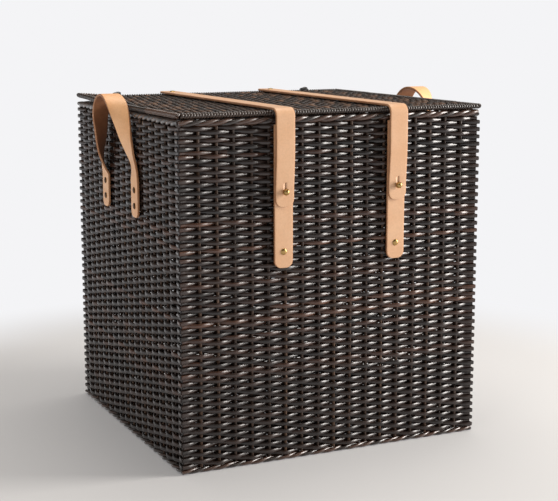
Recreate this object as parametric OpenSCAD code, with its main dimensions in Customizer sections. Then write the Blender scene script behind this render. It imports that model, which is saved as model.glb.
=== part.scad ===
// Lidded square wicker basket with leather closing straps and leather side handles.
// Millimetres. The origin is at the middle of the base, on the floor. +Z is up, the front faces -Y.

/* [Basket body] */
// Width over the borders, side to side
basket_w = 457; // [380:1:640]
// Depth over the borders, front to back
basket_d = 432; // [360:1:640]
// Height of the body, to the top of its border
body_h = 467; // [360:1:640]
// Thickness of a woven wall
wall_t = 10; // [8:0.5:12]
// How far the borders stand out from the weave, inside and outside
border_proud = 1.5; // [0.5:0.25:2.5]
// Height of the rope border along the top edge
top_border_h = 10; // [6:0.5:16]
// Height of the rope border along the bottom edge
bottom_border_h = 7; // [5:0.5:12]

/* [Stakes and frame] */
// Wanted distance from stake to stake in the walls, the base and the lid
stake_pitch = 24.6; // [18:0.2:36]
// Diameter of a wall or base stake
stake_d = 4; // [3:0.5:5]
// Diameter of the rattan poles of the inner frame
pole_d = 10; // [8:0.5:14]
// Thickness of the woven base
base_t = 7; // [6.5:0.5:9]

/* [Lid] */
// Diameter of the bound rods round the lid
lid_rod_d = 8; // [7:0.5:11]
// Thickness of the woven lid panel
lid_t = 5; // [4:0.5:7]
// Diameter of a lid stake
lid_stake_d = 3; // [2:0.25:3]
// Gap that the lid's rods keep over the top border
lid_gap = 0.5; // [0.4:0.1:2]
// Distance of each cane hinge loop from the middle of the back
hinge_x = 163; // [120:1:175]
// Width of a hinge loop
loop_w = 14; // [8:1:22]
// Thickness of the cane that a hinge loop is bound from
loop_t = 2.5; // [1.5:0.25:3.5]
// How far a hinge loop's tail reaches down the back
loop_tail = 26; // [18:1:50]

/* [Leather closing straps] */
// Width of every leather strap
strap_w = 27; // [22:0.5:34]
// Thickness of the leather
leather_t = 3.2; // [2:0.1:4]
// Left strap's distance from the middle
strap_left_x = -80; // [-110:1:-60]
// Right strap's distance from the middle
strap_right_x = 90; // [60:1:110]
// Radius of a strap's bend over the front edge of the lid, at mid leather
strap_bend_r = 10; // [7:0.5:12]
// Radius of the two corners at a strap's end
strap_end_r = 10; // [6:0.5:12]
// Length of the lower strap, below the top border
lower_strap_len = 190; // [150:1:220]
// Distance from the top of the body down to the ball stud
stud_drop = 98; // [70:1:110]
// Leather of the upper strap below the middle of the stud
tail_below_stud = 20; // [16:1:30]
// Diameter of the ball of the stud
ball_d = 9; // [7:0.5:10]
// Diameter of the stud's neck
neck_d = 4; // [3:0.5:5]
// Length of the slit above the button hole
slit_len = 10; // [5:1:14]
// Height of the rivet above the rounded end of the lower strap
rivet_up = 22; // [16:1:40]
// Diameter of a rivet head
rivet_head_d = 9; // [7:0.5:11]
// Diameter of a rivet shank
rivet_d = 3.6; // [2.5:0.1:4]

/* [Leather side handles] */
// Distance from the middle of one leg of a handle to the other, on the wall
handle_span = 126; // [110:1:160]
// Distance between the two sides of the arch, at mid leather
arch_span = 88; // [70:1:106]
// Height of a handle, from its rounded ends to the top of its arch
handle_h = 167; // [140:1:220]
// Distance from the top of the body down to the rounded ends
handle_drop = 145; // [120:1:180]
// Left handle's place along the depth of the basket
handle_left_y = 8; // [-20:1:20]
// Right handle's place along the depth of the basket
handle_right_y = -13; // [-20:1:20]
// Height of the lower rivet above a rounded end
low_rivet_up = 16; // [14:1:20]
// Height of the upper rivet above a rounded end
high_rivet_up = 38; // [34:1:42]
// Height at which a handle starts to leave the wall, above its rounded ends
handle_free_up = 48; // [47:1:60]

/* [Hidden] */

$fn = 48;

// Clearances
seat = 0.1;          // between pieces that lie against each other
bore_gap = 0.1;      // round a stake, shank or neck in its hole, on the radius
running_gap = 0.05;  // round the lid's back rod in a hinge loop, on the radius
free_gap = 0.4;      // between leather that moves and what it lies against
rivet_margin = 1;    // wall left between a rivet hole and a stake hole

// Front, back and sides of the weave
weave_x = basket_w / 2 - border_proud;
weave_y = basket_d / 2 - border_proud;
inner_x = weave_x - wall_t;
inner_y = weave_y - wall_t;
border_t = wall_t + 2 * border_proud;
wall_low = bottom_border_h;
wall_high = body_h - top_border_h;

// Rattan frame, just inside the walls
pole_x = inner_x - pole_d / 2 - seat;
pole_y = inner_y - pole_d / 2 - seat;
frame_low = max(wall_low, base_t) + seat;
base_pole_z = frame_low + pole_d / 2;
top_pole_z = wall_high - seat - pole_d / 2;
post_in_x = pole_x - pole_d / 2 - seat;
post_in_y = pole_y - pole_d / 2 - seat;

// Woven base, inside the bottom border
panel_x = basket_w / 2 - border_t - seat;
panel_y = basket_d / 2 - border_t - seat;
base_mid_z = base_t / 2;

// Stakes: a whole number of equal spaces from corner to corner, close to the wanted pitch
function spaces_in(length) = round(length / stake_pitch);
front_stakes = spaces_in(2 * weave_x - wall_t) - 1;
front_pitch = (2 * weave_x - wall_t) / (front_stakes + 1);
side_stakes = spaces_in(2 * weave_y - wall_t) - 1;
side_pitch = (2 * weave_y - wall_t) / (side_stakes + 1);
base_stakes_n = spaces_in(2 * panel_x) - 1;
base_pitch = 2 * panel_x / (base_stakes_n + 1);
stake_len = wall_high - wall_low - 2 * seat;

function stake_place(i, count, pitch) = (i - (count - 1) / 2) * pitch;
function near_stake(p, count, pitch) =
  stake_place(max(0, min(count - 1, round(p / pitch + (count - 1) / 2))), count, pitch);
// The place closest to p where a hole misses every stake hole by the margin
function clear_of(p, count, pitch, reach) =
  let (s = near_stake(p, count, pitch))
  abs(p - s) >= reach ? p : (p >= s ? s + reach : s - reach);
fastener_r = max(rivet_d, neck_d) / 2;
stake_reach = stake_d / 2 + fastener_r + 2 * bore_gap + rivet_margin;

// Lid: its back rod is the hinge axis
lid_axis_z = body_h + lid_gap + lid_rod_d / 2;
lid_top_z = lid_axis_z + lid_rod_d / 2;
rod_x = basket_w / 2 - lid_rod_d / 2;
rod_y = basket_d / 2 - lid_rod_d / 2;
lid_panel_x = rod_x - lid_rod_d / 2 - seat;
lid_panel_y = rod_y - lid_rod_d / 2 - seat;
lid_stakes_n = spaces_in(2 * lid_panel_y) - 1;
lid_pitch = 2 * lid_panel_y / (lid_stakes_n + 1);
lid_stake_reach = lid_stake_d / 2 + rivet_d / 2 + 2 * bore_gap + rivet_margin;
loop_in_r = lid_rod_d / 2 + running_gap;
loop_out_r = loop_in_r + loop_t;
loop_margin = 0.6;

// Closing straps
strap_xs = [
  clear_of(strap_left_x, front_stakes, front_pitch, stake_reach),
  clear_of(strap_right_x, front_stakes, front_pitch, stake_reach)
];
lower_top_z = wall_high - seat;
lower_end_z = lower_top_z - lower_strap_len;
lower_face_y = weave_y + leather_t;
stud_z = body_h - stud_drop;
rivet_z = lower_end_z + rivet_up;
bend_y = rod_y + 1;
bend_z = lid_top_z + leather_t / 2 - strap_bend_r;
tail_y = bend_y + strap_bend_r;
tail_z = bend_z;
tip_y = lower_face_y + free_gap + leather_t / 2;
tip_z = stud_z - tail_below_stud;
tail_slope = atan2(tail_y - tip_y, tail_z - tip_z);
tail_len = norm([tail_y - tip_y, tail_z - tip_z]);
tail_stud = (tail_z - stud_z) / cos(tail_slope);
tail_stud_y = tail_y - tail_stud * sin(tail_slope);
hole_d = ball_d + 1;
slit_w = 1;
ball_y = tail_stud_y + leather_t / 2 + ball_d / 2 - 1;
back_curl = 30;
lid_rivet_in = 22;
lid_rivet_y = clear_of(lid_panel_y - lid_rivet_in, lid_stakes_n, lid_pitch, lid_stake_reach);
washer_d = rivet_head_d;
washer_t = 1;
rivet_head_h = 1.8;

// Side handles
handle_ys = [handle_left_y, handle_right_y];
handle_end_z = body_h - handle_drop;
handle_axis_z = handle_end_z + handle_free_up;
arch_z = handle_end_z + handle_h - leather_t / 2 - arch_span / 2;
arch_off = 1.6;
leg_low_z = handle_axis_z + leather_t / 2 + 0.3;

function leg_ys(side) = [handle_ys[side] - handle_span / 2, handle_ys[side] + handle_span / 2];
function handle_rivet_ys(side) =
  [for (y = leg_ys(side)) clear_of(y, side_stakes, side_pitch, stake_reach)];
function side_sign(side) = side == 0 ? -1 : 1;

module rod_along_x(length, d) {
  rotate([0, 90, 0]) cylinder(h = length, d = d, center = true);
}

module rod_along_y(length, d) {
  rotate([90, 0, 0]) cylinder(h = length, d = d, center = true);
}

// Woven walls. A wall stands on y = 0 with its outer face at +y, and has a round channel for each stake.
module woven_wall(length, count, pitch) {
  difference() {
    translate([-length / 2, -wall_t, wall_low]) cube([length, wall_t, wall_high - wall_low]);
    for (i = [0 : count - 1])
      translate([stake_place(i, count, pitch), -wall_t / 2, wall_low - 1])
        cylinder(h = wall_high - wall_low + 2, d = stake_d + 2 * bore_gap);
  }
}

module stake_row(count, pitch) {
  for (i = [0 : count - 1])
    translate([stake_place(i, count, pitch), -wall_t / 2, wall_low + seat])
      cylinder(h = stake_len, d = stake_d);
}

// Hole through a front or back wall
module hole_y(x, z, d) {
  translate([x, 0, z]) rotate([90, 0, 0]) cylinder(h = 4 * wall_t, d = d, center = true);
}

module wall_front() {
  color("#3b2a22") difference() {
    mirror([0, 1, 0]) translate([0, weave_y, 0]) woven_wall(2 * weave_x, front_stakes, front_pitch);
    for (x = strap_xs) {
      translate([0, -weave_y, 0]) hole_y(x, stud_z, neck_d + 2 * bore_gap);
      translate([0, -weave_y, 0]) hole_y(x, rivet_z, rivet_d + 2 * bore_gap);
    }
  }
}

module wall_back() {
  color("#3b2a22") translate([0, weave_y, 0]) woven_wall(2 * weave_x, front_stakes, front_pitch);
}

module side_wall(side) {
  turn = side == 0 ? 90 : -90;
  difference() {
    rotate([0, 0, turn]) translate([0, weave_x, 0])
      woven_wall(2 * (inner_y - seat), side_stakes, side_pitch);
    for (y = handle_rivet_ys(side), up = [low_rivet_up, high_rivet_up])
      translate([side_sign(side) * weave_x, y, handle_end_z + up])
        rotate([0, 90, 0]) cylinder(h = 4 * wall_t, d = rivet_d + 2 * bore_gap, center = true);
  }
}

module wall_left() { color("#35261f") side_wall(0); }

module wall_right() { color("#35261f") side_wall(1); }

module stakes_front() {
  color("#8a6a4a") mirror([0, 1, 0]) translate([0, weave_y, 0]) stake_row(front_stakes, front_pitch);
}

module stakes_back() {
  color("#8a6a4a") translate([0, weave_y, 0]) stake_row(front_stakes, front_pitch);
}

module stakes_left() {
  color("#8a6a4a") rotate([0, 0, 90]) translate([0, weave_x, 0]) stake_row(side_stakes, side_pitch);
}

module stakes_right() {
  color("#8a6a4a") rotate([0, 0, -90]) translate([0, weave_x, 0]) stake_row(side_stakes, side_pitch);
}

// Woven base inside the bottom border, with its stakes running front to back
module base_panel() {
  color("#3b2a22") difference() {
    translate([-panel_x, -panel_y, base_mid_z - base_t / 2]) cube([2 * panel_x, 2 * panel_y, base_t]);
    for (i = [0 : base_stakes_n - 1])
      translate([stake_place(i, base_stakes_n, base_pitch), 0, base_mid_z])
        rod_along_y(2 * panel_y + 2, stake_d + 2 * bore_gap);
  }
}

module base_stakes() {
  color("#8a6a4a") for (i = [0 : base_stakes_n - 1])
    translate([stake_place(i, base_stakes_n, base_pitch), 0, base_mid_z])
      rod_along_y(2 * panel_y - 2 * seat, stake_d);
}

// Rattan poles of the frame, from corner post to corner post
module pole_x_way(y, z) {
  color("#5a4030") translate([0, y, z]) rod_along_x(2 * post_in_x, pole_d);
}

module pole_y_way(x, z) {
  color("#5a4030") translate([x, 0, z]) rod_along_y(2 * post_in_y, pole_d);
}

module base_rail_front() { pole_x_way(-pole_y, base_pole_z); }
module base_rail_back() { pole_x_way(pole_y, base_pole_z); }
module base_rail_left() { pole_y_way(-pole_x, base_pole_z); }
module base_rail_right() { pole_y_way(pole_x, base_pole_z); }
module top_rail_front() { pole_x_way(-pole_y, top_pole_z); }
module top_rail_back() { pole_x_way(pole_y, top_pole_z); }
module top_rail_left() { pole_y_way(-pole_x, top_pole_z); }
module top_rail_right() { pole_y_way(pole_x, top_pole_z); }

module corner_post(sx, sy) {
  color("#5a4030") translate([sx * pole_x, sy * pole_y, frame_low])
    cylinder(h = wall_high - seat - frame_low, d = pole_d);
}

module corner_post_front_left() { corner_post(-1, -1); }
module corner_post_front_right() { corner_post(1, -1); }
module corner_post_back_left() { corner_post(-1, 1); }
module corner_post_back_right() { corner_post(1, 1); }

// Rope borders: the front and back bars run the full width, the side bars fit between them
module border_x_way(sy, z, h) {
  low_y = sy > 0 ? basket_d / 2 - border_t : -basket_d / 2;
  translate([-basket_w / 2, low_y, z]) cube([basket_w, border_t, h]);
}

module border_y_way(sx, z, h) {
  low_x = sx > 0 ? basket_w / 2 - border_t : -basket_w / 2;
  half = basket_d / 2 - border_t - seat;
  translate([low_x, -half, z]) cube([border_t, 2 * half, h]);
}

module bottom_border_front() { color("#2f221c") border_x_way(-1, 0, bottom_border_h); }
module bottom_border_back() { color("#2f221c") border_x_way(1, 0, bottom_border_h); }
module bottom_border_left() { color("#2f221c") border_y_way(-1, 0, bottom_border_h); }
module bottom_border_right() { color("#2f221c") border_y_way(1, 0, bottom_border_h); }
module top_border_front() { color("#2f221c") border_x_way(-1, wall_high, top_border_h); }
module top_border_left() { color("#2f221c") border_y_way(-1, wall_high, top_border_h); }
module top_border_right() { color("#2f221c") border_y_way(1, wall_high, top_border_h); }

// The back bar has a seat for each hinge loop
module top_border_back() {
  seat_w = loop_w + 2 * free_gap;
  seat_z = lid_axis_z - loop_out_r - seat;
  color("#2f221c") difference() {
    border_x_way(1, wall_high, top_border_h);
    for (x = [-hinge_x, hinge_x])
      translate([x - seat_w / 2, basket_d / 2 - border_t - 1, seat_z])
        cube([seat_w, border_t + 2, top_border_h]);
  }
}

// Cane hinge loop round the lid's back rod, with its tail down the back and tucked into the weave
module hinge_loop(x) {
  tail_low = lid_axis_z - loop_tail;
  color("#241a15") translate([x, 0, 0]) difference() {
    union() {
      translate([0, rod_y, lid_axis_z]) rod_along_x(loop_w, 2 * loop_out_r);
      translate([-loop_w / 2, rod_y + loop_in_r, tail_low]) cube([loop_w, loop_t, loop_tail]);
      translate([-loop_w / 2, weave_y, tail_low])
        cube([loop_w, rod_y + loop_out_r - weave_y, wall_high - seat - tail_low]);
    }
    translate([0, rod_y, lid_axis_z]) rod_along_x(loop_w + 2, 2 * loop_in_r);
  }
}

module hinge_loop_left() { hinge_loop(-hinge_x); }
module hinge_loop_right() { hinge_loop(hinge_x); }

// Flat leather against the front: hangs from z = 0 with a rounded lower end, outer face at -y
module hanging_leather(length) {
  translate([0, leather_t / 2, 0]) rotate([90, 0, 0]) linear_extrude(leather_t) union() {
    translate([-strap_w / 2, strap_end_r - length]) square([strap_w, length - strap_end_r]);
    translate([strap_end_r - strap_w / 2, -length]) square([strap_w - 2 * strap_end_r, length]);
    for (side = [-1, 1])
      translate([side * (strap_w / 2 - strap_end_r), strap_end_r - length]) circle(r = strap_end_r);
  }
}

module lower_strap(i) {
  color("#dca77c") difference() {
    translate([strap_xs[i], -weave_y - leather_t / 2, lower_top_z]) hanging_leather(lower_strap_len);
    translate([0, -weave_y, 0]) hole_y(strap_xs[i], stud_z, neck_d + 2 * bore_gap);
    translate([0, -weave_y, 0]) hole_y(strap_xs[i], rivet_z, rivet_d + 2 * bore_gap);
  }
}

module lower_strap_left() { lower_strap(0); }
module lower_strap_right() { lower_strap(1); }

// Ball stud: its neck passes through the lower strap and the wall to a washer inside
module ball_stud(i) {
  neck_in = -inner_y + washer_t + seat;
  color("#c9a24a") translate([strap_xs[i], 0, stud_z]) union() {
    translate([0, -ball_y, 0]) sphere(d = ball_d);
    translate([0, neck_in, 0]) rotate([90, 0, 0]) cylinder(h = neck_in + ball_y, d = neck_d);
  }
}

module ball_stud_left() { ball_stud(0); }
module ball_stud_right() { ball_stud(1); }

// Rivet with its head's underside at z = 0 and its shank reaching down
module rivet(reach) {
  color("#c9a24a") union() {
    rotate_extrude() polygon([
      [0, 0], [rivet_head_d / 2, 0], [rivet_head_d / 2, 0.4 * rivet_head_h],
      [0.36 * rivet_head_d, 0.85 * rivet_head_h], [0.2 * rivet_head_d, rivet_head_h], [0, rivet_head_h]
    ]);
    translate([0, 0, -reach]) cylinder(h = reach + 0.1, d = rivet_d);
  }
}

module washer(hole) {
  color("#b08d3e") difference() {
    cylinder(h = washer_t, d = washer_d);
    translate([0, 0, -1]) cylinder(h = washer_t + 2, d = hole + 2 * bore_gap);
  }
}

rivet_reach = leather_t + wall_t + washer_t + seat;

module strap_rivets() {
  for (x = strap_xs)
    translate([x, -lower_face_y, rivet_z]) rotate([90, 0, 0]) rivet(rivet_reach);
}

module strap_washers() {
  for (x = strap_xs) {
    translate([x, -inner_y, rivet_z]) rotate([-90, 0, 0]) washer(rivet_d);
    translate([x, -inner_y, stud_z]) rotate([-90, 0, 0]) washer(neck_d);
  }
}

// Woven lid panel, cut back round each hinge loop
module lid_panel() {
  notch_w = loop_w + 2 * loop_margin;
  notch_y = rod_y - loop_out_r - loop_margin;
  color("#46362c") difference() {
    translate([-lid_panel_x, -lid_panel_y, lid_axis_z - lid_t / 2])
      cube([2 * lid_panel_x, 2 * lid_panel_y, lid_t]);
    for (x = [-hinge_x, hinge_x])
      translate([x - notch_w / 2, notch_y, lid_axis_z - lid_t]) cube([notch_w, lid_rod_d, 2 * lid_t]);
    for (i = [0 : lid_stakes_n - 1])
      translate([0, stake_place(i, lid_stakes_n, lid_pitch), lid_axis_z])
        rod_along_x(2 * lid_panel_x + 2, lid_stake_d + 2 * bore_gap);
    for (x = strap_xs)
      translate([x, lid_rivet_y, lid_axis_z])
        cylinder(h = 2 * lid_t, d = rivet_d + 2 * bore_gap, center = true);
  }
}

module lid_stakes() {
  color("#8a6a4a") for (i = [0 : lid_stakes_n - 1])
    translate([0, stake_place(i, lid_stakes_n, lid_pitch), lid_axis_z])
      rod_along_x(2 * lid_panel_x - 2 * seat, lid_stake_d);
}

// Bound rods round the lid: the front and back rods run the full width
module lid_rod_front() {
  color("#332720") translate([0, -rod_y, lid_axis_z]) rod_along_x(basket_w, lid_rod_d);
}

module lid_rod_back() {
  color("#332720") translate([0, rod_y, lid_axis_z]) rod_along_x(basket_w, lid_rod_d);
}

module lid_rod_left() {
  color("#332720") translate([-rod_x, 0, lid_axis_z]) rod_along_y(2 * lid_panel_y, lid_rod_d);
}

module lid_rod_right() {
  color("#332720") translate([rod_x, 0, lid_axis_z]) rod_along_y(2 * lid_panel_y, lid_rod_d);
}

// Points on an arc in the [y, z] plane
function arc(centre, r, from, to, steps) =
  [for (i = [0 : steps]) let (a = from + (to - from) * i / steps) centre + r * [cos(a), sin(a)]];

// Upper strap along the lid: bends over the front edge and curls a little over the back rod
module lid_strap(i) {
  half = leather_t / 2;
  bend = [-bend_y, bend_z];
  back = [rod_y, lid_axis_z];
  back_r = lid_rod_d / 2;
  front_end = 180 - 180 * (half + 0.3) / (PI * strap_bend_r);
  outer = concat(arc(bend, strap_bend_r + half, front_end, 90, 8),
                 arc(back, back_r + leather_t, 90, 90 - back_curl, 4));
  inner = concat(arc(back, back_r, 90 - back_curl, 90, 4),
                 arc(bend, strap_bend_r - half, 90, front_end, 8));
  color("#dca77c") difference() {
    translate([strap_xs[i] - strap_w / 2, 0, 0]) rotate([90, 0, 90]) linear_extrude(strap_w)
      polygon(concat(outer, inner));
    translate([strap_xs[i], lid_rivet_y, lid_top_z])
      cylinder(h = 4 * leather_t, d = rivet_d + 2 * bore_gap, center = true);
  }
}

module lid_strap_left() { lid_strap(0); }
module lid_strap_right() { lid_strap(1); }

lid_under_z = lid_axis_z - lid_t / 2;

module lid_strap_rivets() {
  head_z = lid_top_z + leather_t;
  for (x = strap_xs)
    translate([x, lid_rivet_y, head_z]) rivet(head_z - lid_under_z + washer_t + seat);
}

module lid_strap_washers() {
  for (x = strap_xs) translate([x, lid_rivet_y, lid_under_z - washer_t]) washer(rivet_d);
}

// Tail of the upper strap: turns about a rounded edge at its top, and buttons over the ball
module strap_tail(i) {
  color("#dca77c") translate([strap_xs[i], -tail_y, tail_z]) rotate([tail_slope, 0, 0]) difference() {
    union() {
      hanging_leather(tail_len);
      rod_along_x(strap_w, leather_t);
    }
    translate([0, 0, -tail_stud]) rotate([90, 0, 0])
      cylinder(h = 4 * leather_t, d = hole_d, center = true);
    translate([-slit_w / 2, -2 * leather_t, -tail_stud]) cube([slit_w, 4 * leather_t, hole_d / 2 + slit_len]);
  }
}

module strap_tail_left() { strap_tail(0); }
module strap_tail_right() { strap_tail(1); }

// Handle ends: leather riveted flat on the side walls, each with a rounded edge that the loop bends about
module handle_ends(side) {
  s = side_sign(side);
  color("#dca77c") difference() {
    for (y = leg_ys(side))
      translate([s * (weave_x + leather_t / 2), y, handle_axis_z]) rotate([0, 0, s * 90]) union() {
        hanging_leather(handle_free_up);
        rod_along_x(strap_w, leather_t);
      }
    for (y = handle_rivet_ys(side), up = [low_rivet_up, high_rivet_up])
      translate([s * weave_x, y, handle_end_z + up])
        rotate([0, 90, 0]) cylinder(h = 4 * leather_t, d = rivet_d + 2 * bore_gap, center = true);
  }
}

module handle_ends_left() { handle_ends(0); }
module handle_ends_right() { handle_ends(1); }

module handle_rivets(side) {
  for (y = handle_rivet_ys(side), up = [low_rivet_up, high_rivet_up])
    translate([side_sign(side) * (weave_x + leather_t), y, handle_end_z + up])
      rotate([0, side_sign(side) * 90, 0]) rivet(rivet_reach);
}

module handle_rivets_left() { handle_rivets(0); }
module handle_rivets_right() { handle_rivets(1); }

module handle_washers() {
  for (side = [0, 1], y = handle_rivet_ys(side), up = [low_rivet_up, high_rivet_up])
    translate([side_sign(side) * inner_x, y, handle_end_z + up])
      rotate([0, -side_sign(side) * 90, 0]) washer(rivet_d);
}

// Handle loop. Each station is [centre, face direction, width direction, half thickness].
// x runs out from the weave, y along the wall from the middle of the handle, z up.
twist_steps = 16;
arch_steps = 24;

function ease(t) = t * t * (3 - 2 * t);

function twist_stations(side) =
  [for (i = [0 : twist_steps - 1])
    let (t = i / twist_steps,
         turn = 90 * ease(t),
         away = strap_w / 2 * sin(turn) + leather_t / 2 * cos(turn) + free_gap + arch_off * t)
    [[away, side * (handle_span / 2 + (arch_span - handle_span) / 2 * ease(t)),
      leg_low_z + t * (arch_z - leg_low_z)],
     [cos(turn), side * sin(turn), 0], [sin(turn), -side * cos(turn), 0], leather_t / 2]];

function arch_stations() =
  [for (i = [0 : arch_steps])
    let (a = 180 * i / arch_steps)
    [[strap_w / 2 + free_gap + arch_off, arch_span / 2 * cos(a), arch_z + arch_span / 2 * sin(a)],
     [0, cos(a), sin(a)], [1, 0, 0], leather_t / 2]];

function reversed(list) = [for (i = [len(list) - 1 : -1 : 0]) list[i]];

handle_path = concat(twist_stations(1), arch_stations(), reversed(twist_stations(-1)));

// Corners of the leather's section, as [along its width, through its thickness]
edge = 0.6;
section = [
  [1, -1, 0, edge], [1, 1, 0, -edge], [1, 1, -edge, 0], [-1, 1, edge, 0],
  [-1, 1, 0, -edge], [-1, -1, 0, edge], [-1, -1, edge, 0], [1, -1, -edge, 0]
];

function section_points(s) =
  [for (c = section) s[0] + (c[0] * strap_w / 2 + c[2]) * s[2] + (c[1] * s[3] + c[3]) * s[1]];

module swept(path) {
  sides = len(section);
  rings = len(path);
  points = [for (s = path) for (p = section_points(s)) p];
  walls = [for (r = [0 : rings - 2], c = [0 : sides - 1])
    let (a = r * sides + c, b = r * sides + (c + 1) % sides)
    each [[a, b, b + sides], [a, b + sides, a + sides]]];
  first = [for (c = [sides - 1 : -1 : 0]) c];
  last = [for (c = [0 : sides - 1]) (rings - 1) * sides + c];
  polyhedron(points = points, faces = concat(walls, [first], [last]), convexity = 6);
}

module handle_loop(side) {
  translate([weave_x, handle_ys[side], 0]) swept(handle_path);
}

module handle_loop_left() { color("#dca77c") mirror([1, 0, 0]) handle_loop(0); }
module handle_loop_right() { color("#dca77c") handle_loop(1); }

base_panel();
base_stakes();
base_rail_front();
base_rail_back();
base_rail_left();
base_rail_right();
bottom_border_front();
bottom_border_back();
bottom_border_left();
bottom_border_right();
wall_front();
wall_back();
wall_left();
wall_right();
stakes_front();
stakes_back();
stakes_left();
stakes_right();
corner_post_front_left();
corner_post_front_right();
corner_post_back_left();
corner_post_back_right();
top_rail_front();
top_rail_back();
top_rail_left();
top_rail_right();
top_border_front();
top_border_back();
top_border_left();
top_border_right();
hinge_loop_left();
hinge_loop_right();
lower_strap_left();
lower_strap_right();
ball_stud_left();
ball_stud_right();
strap_rivets();
strap_washers();
handle_ends_left();
handle_ends_right();
handle_rivets_left();
handle_rivets_right();
handle_washers();
lid_panel();
lid_stakes();
lid_rod_front();
lid_rod_back();
lid_rod_left();
lid_rod_right();
lid_strap_left();
lid_strap_right();
lid_strap_rivets();
lid_strap_washers();
strap_tail_left();
strap_tail_right();
handle_loop_left();
handle_loop_right();
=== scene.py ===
"""A lidded wicker basket: woven cane, a bound lid on cane hinge loops, leather straps and handles."""
import math

import bmesh
import bpy
import numpy as np
from mathutils import Matrix, Vector


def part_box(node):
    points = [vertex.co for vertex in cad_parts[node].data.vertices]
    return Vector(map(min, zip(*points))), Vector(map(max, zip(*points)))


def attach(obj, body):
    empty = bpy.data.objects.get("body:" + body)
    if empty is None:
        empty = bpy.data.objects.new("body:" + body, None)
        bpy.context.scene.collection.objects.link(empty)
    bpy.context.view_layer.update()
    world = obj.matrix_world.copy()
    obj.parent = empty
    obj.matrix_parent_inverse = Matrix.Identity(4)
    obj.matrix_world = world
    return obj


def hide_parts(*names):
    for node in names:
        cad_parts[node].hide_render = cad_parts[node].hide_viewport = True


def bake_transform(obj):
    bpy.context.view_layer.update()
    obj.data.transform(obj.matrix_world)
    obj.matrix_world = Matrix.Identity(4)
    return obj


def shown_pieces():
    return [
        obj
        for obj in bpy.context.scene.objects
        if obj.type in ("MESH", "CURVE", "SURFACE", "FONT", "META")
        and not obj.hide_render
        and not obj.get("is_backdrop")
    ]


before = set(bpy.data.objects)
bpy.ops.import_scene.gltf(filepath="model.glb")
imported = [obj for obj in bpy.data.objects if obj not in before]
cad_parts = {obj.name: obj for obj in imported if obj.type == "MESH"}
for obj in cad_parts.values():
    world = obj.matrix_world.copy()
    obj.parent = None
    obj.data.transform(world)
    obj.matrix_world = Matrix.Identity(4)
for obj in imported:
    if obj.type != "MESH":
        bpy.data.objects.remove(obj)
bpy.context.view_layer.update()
MM = 0.001

# ---------------------------------------------------------------- sizes, from the frame
WALL_LOW, WALL_HIGH = (np.array(c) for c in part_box("wall_front"))
WALL_THICK = WALL_HIGH[1] - WALL_LOW[1]
WEAVE_X = WALL_HIGH[0]
WEAVE_Y = -WALL_LOW[1]
MID_X = WEAVE_X - WALL_THICK / 2
MID_Y = WEAVE_Y - WALL_THICK / 2
TOP_BORDER = [np.array(c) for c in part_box("top_border_front")]
LOW_BORDER = [np.array(c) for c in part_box("bottom_border_front")]
BACK_ROD = [np.array(c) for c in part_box("lid_rod_back")]
ROD_R = (BACK_ROD[1][2] - BACK_ROD[0][2]) / 2
ROD_Y = BACK_ROD[1][1] - ROD_R
LID_Z = BACK_ROD[0][2] + ROD_R
LID_PANEL = [np.array(c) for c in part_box("lid_panel")]
BASE_PANEL = [np.array(c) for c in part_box("base_panel")]

SPACES_FRONT = 18        # stake spaces along the front and the back
SPACES_SIDE = 17         # stake spaces along each side
ROW_PITCH = 5.11 * MM    # height of one woven row
STRAND_W = 5.7 * MM      # width of a weaver, a little more than a row, so that rows touch
STRAND_T = 3.3 * MM      # thickness of a weaver
STAKE_D = 4.0 * MM
FLAT_STAKE_D = 2.4 * MM  # the thinner stakes of the lid and the base
PRESS = 0.3 * MM         # how far a weaver presses into a stake
CORNER_R = 3.0 * MM      # bend of the weave round a corner, at mid wall
ROPE_LAY = 2.2           # stake spaces for one turn of a border's rope
ROPE_PLIES = 3
WRAP_PITCH = 3.9 * MM    # distance between two turns of the binding round a lid rod
WRAP_D = 3.7 * MM        # the binding's cane


# ---------------------------------------------------------------- small helpers
def linear(hex_colour):
    """An sRGB hex colour as linear RGBA."""
    parts = [int(hex_colour[i:i + 2], 16) / 255 for i in (1, 3, 5)]
    return [c / 12.92 if c <= 0.04045 else ((c + 0.055) / 1.055) ** 2.4 for c in parts] + [1.0]


def add(tree, kind, feeds=None, **settings):
    """Adds a node. feeds maps an input's name or number to a value, a socket, or a node's first output."""
    made = tree.nodes.new(kind)
    for key, value in settings.items():
        setattr(made, key, value)
    for key, value in (feeds or {}).items():
        if isinstance(value, bpy.types.Node):
            value = value.outputs[0]
        if isinstance(value, bpy.types.NodeSocket):
            tree.links.new(value, made.inputs[key])
        else:
            made.inputs[key].default_value = value
    return made


def calc(tree, kind, *feeds, **settings):
    """Adds a math node of this kind, fed in order."""
    return add(tree, "ShaderNodeMath", dict(enumerate(feeds)), operation=kind, **settings)


def remap(tree, *feeds, **settings):
    """Adds a map range node: a value, from low, from high, to low, to high."""
    return add(tree, "ShaderNodeMapRange", dict(enumerate(feeds)), **settings)


def vector(tree, *feeds):
    """Adds a node that makes a vector of up to three parts."""
    return add(tree, "ShaderNodeCombineXYZ", dict(enumerate(feeds)))


def points_of(piece):
    """A piece's points, as rows of x, y and z."""
    points = np.zeros(len(piece.data.vertices) * 3)
    piece.data.vertices.foreach_get("co", points)
    return points.reshape(-1, 3)


def move_points(piece, points):
    piece.data.vertices.foreach_set("co", points.ravel())
    piece.data.update()


def link_in(piece):
    bpy.context.scene.collection.objects.link(piece)
    return piece


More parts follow.
